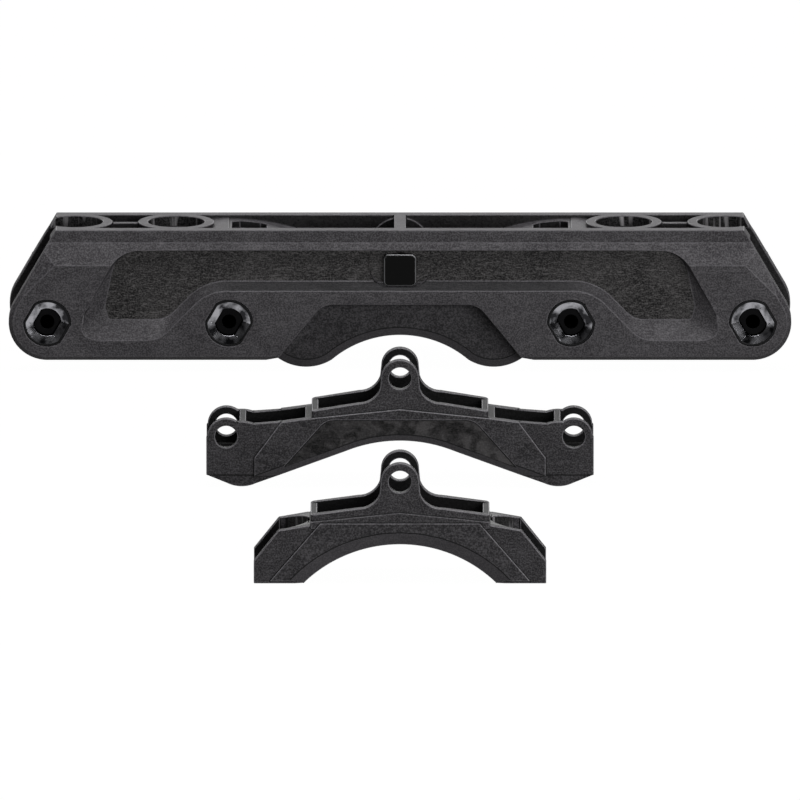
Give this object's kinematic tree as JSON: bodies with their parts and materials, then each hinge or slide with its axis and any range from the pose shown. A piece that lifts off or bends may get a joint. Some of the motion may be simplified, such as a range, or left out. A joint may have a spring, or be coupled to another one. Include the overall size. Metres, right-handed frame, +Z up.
{
  "type": "inline skate frame",
  "caption": "Moulded inline skate frame with an arched grind block in its middle, keyed axle bushes and two spare grind blocks standing beside it.",
  "frame": {"origin": "centre of the deck's top face, midway between the two boot bolts", "axes": "+X along the frame, +Y across it away from the shown side, +Z up through the deck towards the boot"},
  "size_m": [0.2884, 0.4074, 0.0525],
  "materials": {
    "frame_nylon": "glass-fibre nylon, fine grained, as moulded",
    "block_nylon": "glass-fibre nylon, fine grained, as moulded",
    "bush_alloy": "black anodised, polished",
    "axle_steel": "black oxide",
    "pin_lacquer": "black gloss lacquer with a bright bevelled rim"
  },
  "bodies": {
    "frame": {"frame_body": "frame_nylon", "centre_block": "block_nylon"},
    "near_bush_1": {"near_bush_1": "bush_alloy"},
    "axle_sleeve_1": {"axle_sleeve_1": "axle_steel"},
    "far_bush_1": {"far_bush_1": "bush_alloy"},
    "axle_screw_1": {"axle_screw_1": "axle_steel"},
    "near_bush_2": {"near_bush_2": "bush_alloy"},
    "axle_sleeve_2": {"axle_sleeve_2": "axle_steel"},
    "far_bush_2": {"far_bush_2": "bush_alloy"},
    "axle_screw_2": {"axle_screw_2": "axle_steel"},
    "near_bush_3": {"near_bush_3": "bush_alloy"},
    "axle_sleeve_3": {"axle_sleeve_3": "axle_steel"},
    "far_bush_3": {"far_bush_3": "bush_alloy"},
    "axle_screw_3": {"axle_screw_3": "axle_steel"},
    "near_bush_4": {"near_bush_4": "bush_alloy"},
    "axle_sleeve_4": {"axle_sleeve_4": "axle_steel"},
    "far_bush_4": {"far_bush_4": "bush_alloy"},
    "axle_screw_4": {"axle_screw_4": "axle_steel"},
    "centre_pin": {"centre_pin": "pin_lacquer"},
    "pin_screw": {"pin_screw": "pin_lacquer"},
    "long_block": {"long_block": "block_nylon"},
    "short_block": {"short_block": "block_nylon"}
  },
  "joints": [
    {"name": "near_bush_1_out", "type": "slide", "parent": "frame", "child": "near_bush_1", "axis": [0, -1, 0], "range_m": [0, 0.015]},
    {"name": "axle_sleeve_1_out", "type": "slide", "parent": "near_bush_1", "child": "axle_sleeve_1", "axis": [0, -1, 0], "range_m": [0, 0.06]},
    {"name": "far_bush_1_out", "type": "slide", "parent": "frame", "child": "far_bush_1", "axis": [0, 1, 0], "range_m": [0, 0.015]},
    {"name": "axle_screw_1_out", "type": "slide", "parent": "far_bush_1", "child": "axle_screw_1", "axis": [0, 1, 0], "range_m": [0, 0.03]},
    {"name": "near_bush_2_out", "type": "slide", "parent": "frame", "child": "near_bush_2", "axis": [0, -1, 0], "range_m": [0, 0.015]},
    {"name": "axle_sleeve_2_out", "type": "slide", "parent": "near_bush_2", "child": "axle_sleeve_2", "axis": [0, -1, 0], "range_m": [0, 0.06]},
    {"name": "far_bush_2_out", "type": "slide", "parent": "frame", "child": "far_bush_2", "axis": [0, 1, 0], "range_m": [0, 0.015]},
    {"name": "axle_screw_2_out", "type": "slide", "parent": "far_bush_2", "child": "axle_screw_2", "axis": [0, 1, 0], "range_m": [0, 0.03]},
    {"name": "near_bush_3_out", "type": "slide", "parent": "frame", "child": "near_bush_3", "axis": [0, -1, 0], "range_m": [0, 0.015]},
    {"name": "axle_sleeve_3_out", "type": "slide", "parent": "near_bush_3", "child": "axle_sleeve_3", "axis": [0, -1, 0], "range_m": [0, 0.06]},
    {"name": "far_bush_3_out", "type": "slide", "parent": "frame", "child": "far_bush_3", "axis": [0, 1, 0], "range_m": [0, 0.015]},
    {"name": "axle_screw_3_out", "type": "slide", "parent": "far_bush_3", "child": "axle_screw_3", "axis": [0, 1, 0], "range_m": [0, 0.03]},
    {"name": "near_bush_4_out", "type": "slide", "parent": "frame", "child": "near_bush_4", "axis": [0, -1, 0], "range_m": [0, 0.015]},
    {"name": "axle_sleeve_4_out", "type": "slide", "parent": "near_bush_4", "child": "axle_sleeve_4", "axis": [0, -1, 0], "range_m": [0, 0.06]},
    {"name": "far_bush_4_out", "type": "slide", "parent": "frame", "child": "far_bush_4", "axis": [0, 1, 0], "range_m": [0, 0.015]},
    {"name": "axle_screw_4_out", "type": "slide", "parent": "far_bush_4", "child": "axle_screw_4", "axis": [0, 1, 0], "range_m": [0, 0.03]},
    {"name": "centre_pin_out", "type": "slide", "parent": "frame", "child": "centre_pin", "axis": [0, -1, 0], "range_m": [0, 0.06]},
    {"name": "pin_screw_out", "type": "slide", "parent": "frame", "child": "pin_screw", "axis": [0, 1, 0], "range_m": [0, 0.035]},
    {"name": "long_block_lift", "type": "slide", "parent": "frame", "child": "long_block", "axis": [0, 0, 1], "range_m": [0, 0.1]},
    {"name": "short_block_lift", "type": "slide", "parent": "frame", "child": "short_block", "axis": [0, 0, 1], "range_m": [0, 0.1]}
  ]
}
